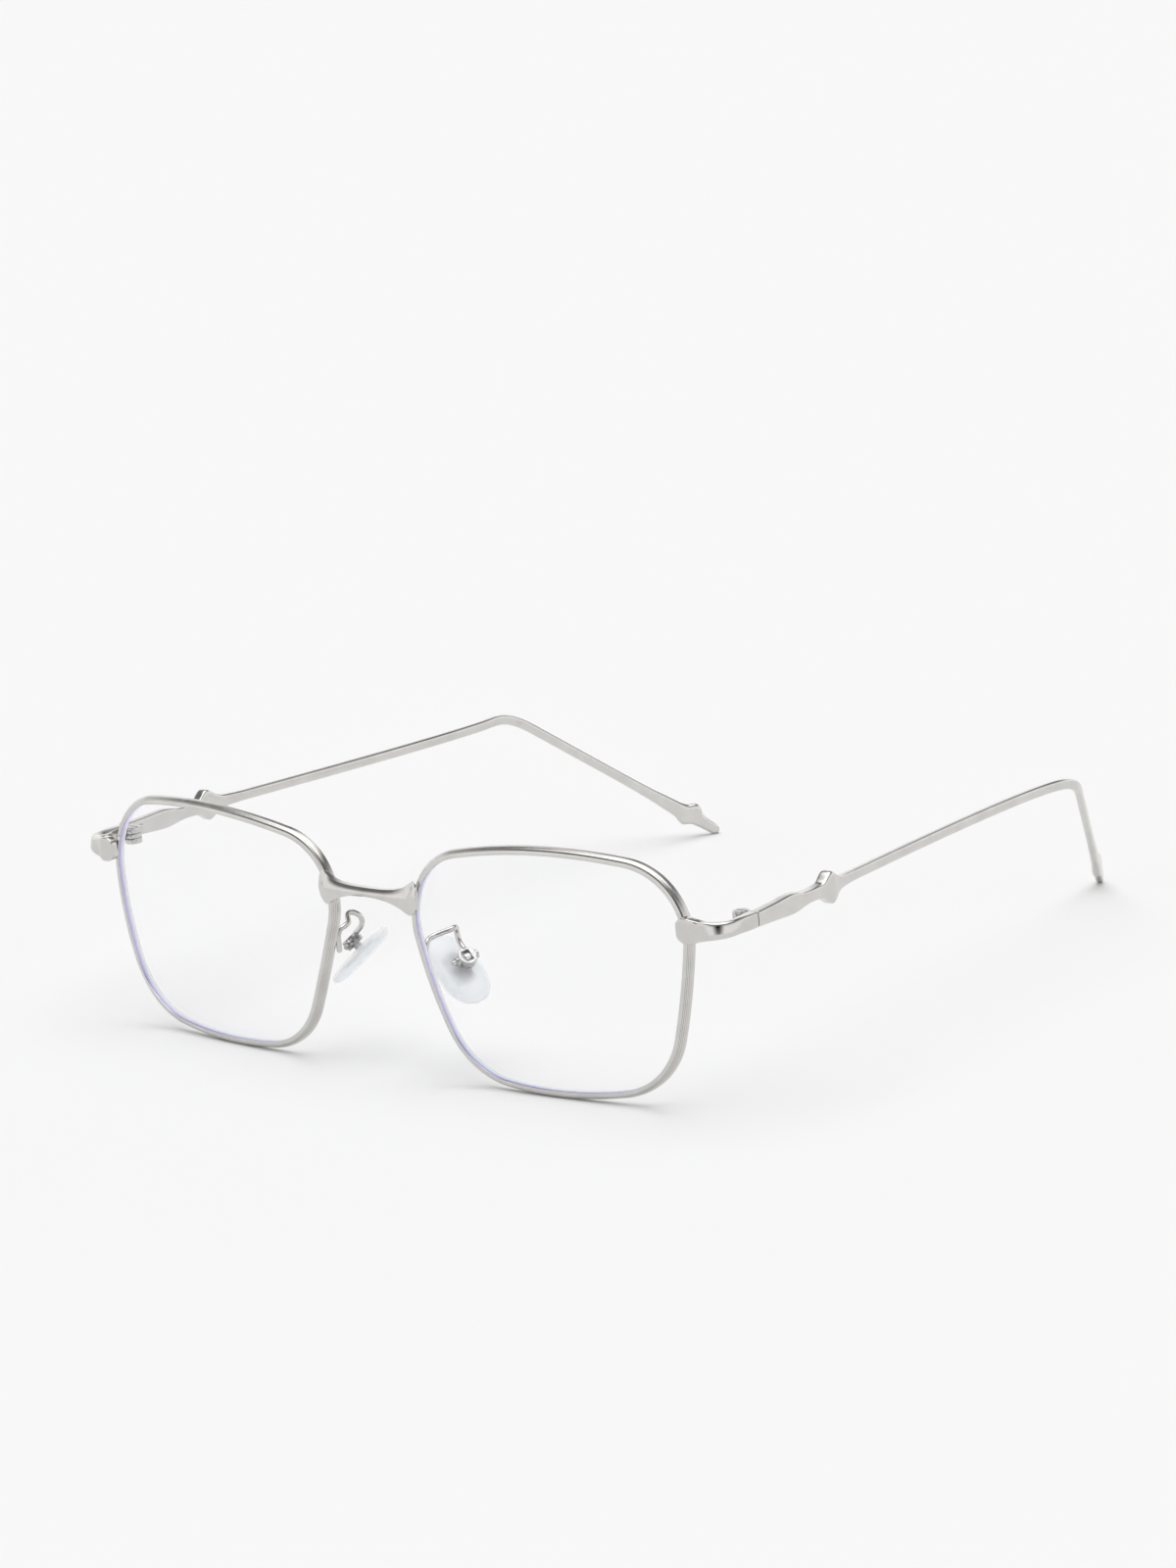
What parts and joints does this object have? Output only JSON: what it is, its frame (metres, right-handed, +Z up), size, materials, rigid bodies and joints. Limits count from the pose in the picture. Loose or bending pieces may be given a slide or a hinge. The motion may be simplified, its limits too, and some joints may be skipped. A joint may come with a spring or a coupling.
{
  "type": "full-rim metal eyeglasses",
  "caption": "Full-rim metal eyeglasses with clear lenses, a sculpted bridge, adjustable nose pads and slim folding temples, standing open on the eyewires and the temple tips.",
  "frame": {"origin": "on the ground, under the middle of the open frame's box: midway between the lenses, and halfway from the front of the bridge to the temple tips", "axes": "+Z up; the lenses face -Y and the temples run back to +Y; +X is the wearer's left"},
  "size_m": [0.138, 0.1406, 0.0408],
  "materials": {
    "frame_metal": "polished pale nickel plate",
    "bridge_metal": "polished pale nickel plate",
    "temple_metal": "satin to polished pale nickel plate",
    "screw": "bright steel",
    "lens": "clear resin with a faint blue-violet anti-reflective coating",
    "nose_pad": "clear silicone",
    "pad_core": "satin"
  },
  "bodies": {
    "front": {"rim_left": "frame_metal", "rim_right": "frame_metal", "lens_left": "lens", "lens_right": "lens", "bridge": "bridge_metal", "endpiece_left": "bridge_metal", "endpiece_right": "bridge_metal", "rim_lock_upper_left": "frame_metal", "rim_lock_upper_right": "frame_metal", "rim_lock_lower_left": "frame_metal", "rim_lock_lower_right": "frame_metal", "rim_lock_screw_left": "screw", "rim_lock_screw_right": "screw", "hinge_front_leaf_left": "frame_metal", "hinge_front_leaf_right": "frame_metal", "hinge_screw_left": "screw", "hinge_screw_right": "screw", "pad_arm_left": "frame_metal", "pad_arm_right": "frame_metal", "pad_box_left": "frame_metal", "pad_box_right": "frame_metal", "pad_screw_left": "screw", "pad_screw_right": "screw"},
    "temple_left": {"temple_left": "temple_metal", "hinge_temple_leaf_left": "frame_metal"},
    "pad_left": {"nose_pad_left": "nose_pad", "pad_core_left": "pad_core"},
    "temple_right": {"temple_right": "temple_metal", "hinge_temple_leaf_right": "frame_metal"},
    "pad_right": {"nose_pad_right": "nose_pad", "pad_core_right": "pad_core"}
  },
  "joints": [
    {"name": "hinge_left", "type": "hinge", "parent": "front", "child": "temple_left", "pos_m": [0.0655, -0.05588, 0.0295], "axis": [0, 0, 1], "range_deg": [0, 80]},
    {"name": "hinge_right", "type": "hinge", "parent": "front", "child": "temple_right", "pos_m": [-0.0655, -0.05588, 0.0295], "axis": [0, 0, -1], "range_deg": [0, 66]},
    {"name": "pad_rock_left", "type": "hinge", "parent": "front", "child": "pad_left", "pos_m": [0.01232, -0.06093, 0.01837], "axis": [0.302, 0.9445, 0.129], "range_deg": [-8, 8]},
    {"name": "pad_rock_right", "type": "hinge", "parent": "front", "child": "pad_right", "pos_m": [-0.01232, -0.06093, 0.01837], "axis": [-0.302, 0.9445, 0.129], "range_deg": [-8, 8]}
  ]
}
